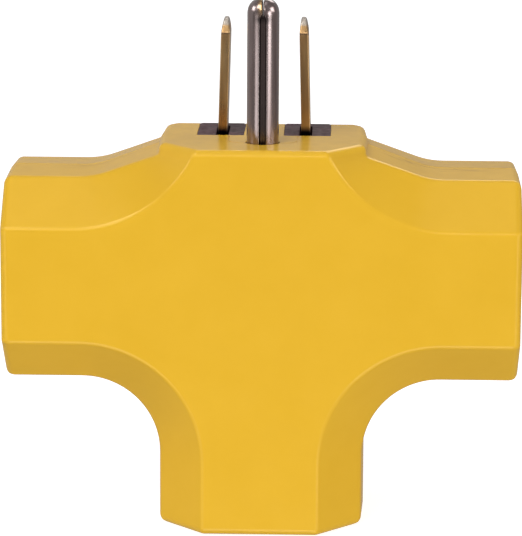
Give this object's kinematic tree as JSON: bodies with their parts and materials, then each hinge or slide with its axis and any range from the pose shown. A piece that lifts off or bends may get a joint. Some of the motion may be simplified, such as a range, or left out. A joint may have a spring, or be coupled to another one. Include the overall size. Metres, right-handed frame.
{
  "type": "three-outlet grounding adapter",
  "caption": "T-shaped plug-in adapter with a grounding plug on its hub and a grounding outlet at the end of each arm.",
  "frame": {"origin": "centre of the plug face, on the parting plane of the two covers", "axes": "+X towards the right arm's outlet seen from the front, +Y towards the back, +Z out of the plug face along the blades"},
  "size_m": [0.0776, 0.0314, 0.0806],
  "materials": {
    "cover_yellow": "semi-gloss moulded vinyl, faintly mottled",
    "insert_dark": "dull dark purple-grey moulding",
    "carrier_black": "dull black moulding",
    "blade_brass": "stamped, slightly tarnished",
    "pin_nickel": "nickel plate, rolled",
    "contact_brass": "stamped strip"
  },
  "bodies": {
    "root": {"front_cover": "cover_yellow", "back_cover": "cover_yellow", "plug_insert": "insert_dark", "line_blade": "blade_brass", "neutral_blade": "blade_brass", "ground_pin": "pin_nickel", "line_bus_bar": "contact_brass", "plug_line_rivet": "contact_brass", "neutral_bus_bar": "contact_brass", "plug_neutral_rivet": "contact_brass", "ground_bus_bar": "contact_brass", "plug_ground_rivet": "contact_brass", "left_contact_carrier": "carrier_black", "left_line_contact": "contact_brass", "left_line_rivet": "contact_brass", "left_neutral_contact": "contact_brass", "left_neutral_rivet": "contact_brass", "left_ground_contact": "contact_brass", "left_ground_rivet": "contact_brass", "right_contact_carrier": "carrier_black", "right_line_contact": "contact_brass", "right_line_rivet": "contact_brass", "right_neutral_contact": "contact_brass", "right_neutral_rivet": "contact_brass", "right_ground_contact": "contact_brass", "right_ground_rivet": "contact_brass", "bottom_contact_carrier": "carrier_black", "bottom_line_contact": "contact_brass", "bottom_line_rivet": "contact_brass", "bottom_neutral_contact": "contact_brass", "bottom_neutral_rivet": "contact_brass", "bottom_ground_contact": "contact_brass", "bottom_ground_rivet": "contact_brass"}
  },
  "joints": []
}
